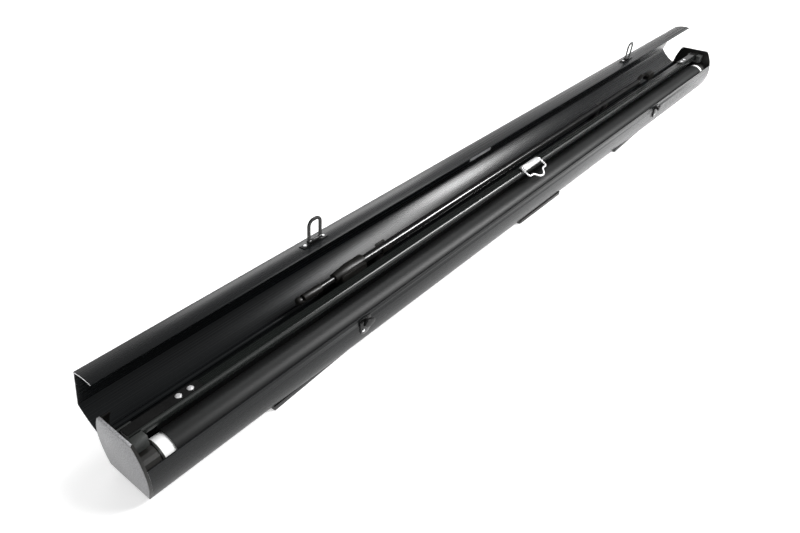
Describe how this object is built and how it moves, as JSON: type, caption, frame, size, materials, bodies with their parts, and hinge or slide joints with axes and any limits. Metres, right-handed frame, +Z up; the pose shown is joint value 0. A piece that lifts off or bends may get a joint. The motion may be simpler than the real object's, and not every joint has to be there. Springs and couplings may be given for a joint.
{
  "type": "portable floor projector screen",
  "caption": "Portable floor projector screen in an open black case with a hinged lid, spring roller, pull-up slat and stored telescopic mast.",
  "frame": {"origin": "on the floor, under the middle of the open part", "axes": "+X along the case, +Y to the hinge side, +Z up"},
  "size_m": [1.84, 0.1539, 0.1962],
  "materials": {
    "case_black": "black anodised, satin, with fine lengthwise lines",
    "slat_black": "black anodised, satin",
    "face_grey": "smooth silver grey, satin",
    "moulding_black": "moulded, satin",
    "cradle_grey": "moulded, mid grey",
    "tube_white": "white, satin",
    "screen_black": "smooth black backing, satin",
    "steel": "bright steel",
    "chrome": "polished",
    "strip_grey": "plain, satin",
    "latch_dark": "dark, glossy",
    "bar_black": "black, satin"
  },
  "bodies": {
    "case": {"lower_case": "case_black", "cap_face_near": "face_grey", "cap_face_far": "face_grey", "cap_body_near": "moulding_black", "cap_body_far": "moulding_black", "slat_cradle_near": "cradle_grey", "slat_cradle_far": "cradle_grey", "latch_plate_near": "latch_dark", "latch_plate_far": "latch_dark", "latch_rivet_near": "chrome", "latch_rivet_far": "chrome", "handle_bracket_near": "moulding_black", "handle_bracket_far": "moulding_black", "mast_clip_near": "moulding_black", "mast_clip_far": "moulding_black", "foot_pivot_near": "steel", "foot_pivot_far": "steel", "mast_socket": "moulding_black", "spring_shaft": "steel", "winding_spring": "steel", "screen_leader": "screen_black"},
    "lid": {"lid": "case_black", "lid_tab": "strip_grey", "hasp_base_near": "latch_dark", "hasp_base_far": "latch_dark", "hasp_rivet_near_a": "chrome", "hasp_rivet_near_b": "chrome", "hasp_rivet_far_a": "chrome", "hasp_rivet_far_b": "chrome"},
    "hasp_near": {"hasp_loop_near": "latch_dark"},
    "hasp_far": {"hasp_loop_far": "latch_dark"},
    "knob_near": {"latch_knob_near": "latch_dark"},
    "knob_far": {"latch_knob_far": "latch_dark"},
    "foot_near": {"foot_near": "bar_black"},
    "foot_far": {"foot_far": "bar_black"},
    "handle": {"carry_handle": "moulding_black"},
    "roller": {"roller_tube": "tube_white", "roller_plug_near": "moulding_black", "roller_plug_far": "moulding_black", "shaft_bearing": "moulding_black", "screen_roll": "screen_black"},
    "slat": {"slat": "slat_black", "slat_cover_near": "bar_black", "slat_cover_far": "bar_black", "slat_rivet_near_a": "chrome", "slat_rivet_near_b": "chrome", "slat_rivet_far_a": "chrome", "slat_rivet_far_b": "chrome", "bail_bracket": "chrome"},
    "bail": {"bail_wire": "chrome"},
    "mast": {"mast_outer_tube": "bar_black", "mast_clamp": "moulding_black", "mast_foot": "moulding_black"},
    "mast_inner": {"mast_inner_tube": "bar_black", "mast_head": "moulding_black"},
    "lever": {"clamp_lever": "moulding_black"}
  },
  "joints": [
    {"name": "lid_hinge", "type": "hinge", "parent": "case", "child": "lid", "pos_m": [0, 0.03585, 0.0505], "axis": [-1, 0, 0], "range_deg": [-70.5, 0]},
    {"name": "hasp_near_turn", "type": "hinge", "parent": "lid", "child": "hasp_near", "pos_m": [-0.542, 0.03095, 0.15723], "axis": [-1, 0, 0], "range_deg": [-98, 84.5]},
    {"name": "knob_near_turn", "type": "hinge", "parent": "case", "child": "knob_near", "pos_m": [-0.542, -0.06541, 0.052], "axis": [0, -0.9978, 0.067], "range_deg": [0, 90]},
    {"name": "foot_near_turn", "type": "hinge", "parent": "case", "child": "foot_near", "pos_m": [-0.534, -0.01437, 0.0035], "axis": [0, 0, 1], "range_deg": [-3, 87]},
    {"name": "hasp_far_turn", "type": "hinge", "parent": "lid", "child": "hasp_far", "pos_m": [0.542, 0.03095, 0.15723], "axis": [-1, 0, 0], "range_deg": [-98, 84.5]},
    {"name": "knob_far_turn", "type": "hinge", "parent": "case", "child": "knob_far", "pos_m": [0.542, -0.06541, 0.052], "axis": [0, -0.9978, 0.067], "range_deg": [0, 90]},
    {"name": "foot_far_turn", "type": "hinge", "parent": "case", "child": "foot_far", "pos_m": [0.534, -0.01437, 0.0035], "axis": [0, 0, 1], "range_deg": [-3, 87]},
    {"name": "handle_turn", "type": "hinge", "parent": "case", "child": "handle", "pos_m": [0, -0.02637, 0.0049], "axis": [1, 0, 0], "range_deg": [0, 95]},
    {"name": "slat_lift", "type": "slide", "parent": "case", "child": "slat", "axis": [0, 0, 1], "range_m": [0, 1.2], "deforming": ["screen_leader"]},
    {"name": "roller_spin", "type": "hinge", "parent": "case", "child": "roller", "pos_m": [0, -0.03537, 0.0405], "axis": [1, 0, 0], "range_deg": [0, 2700]},
    {"name": "bail_turn", "type": "hinge", "parent": "slat", "child": "bail", "pos_m": [0, -0.02237, 0.0925], "axis": [-1, 0, 0], "range_deg": [0, 115]},
    {"name": "mast_lift", "type": "slide", "parent": "case", "child": "mast", "axis": [0, 0, 1], "range_m": [0, 0.05]},
    {"name": "mast_extend", "type": "slide", "parent": "mast", "child": "mast_inner", "axis": [-1, 0, 0], "range_m": [0, 0.29]},
    {"name": "clamp_lever_turn", "type": "hinge", "parent": "mast", "child": "lever", "pos_m": [-0.465, 0.00498, 0.0795], "axis": [0, 1, 0], "range_deg": [0, 90]}
  ],
  "couplings": [
    {"joint": "roller_spin", "follows": "slat_lift", "rad_per_m": 39}
  ]
}
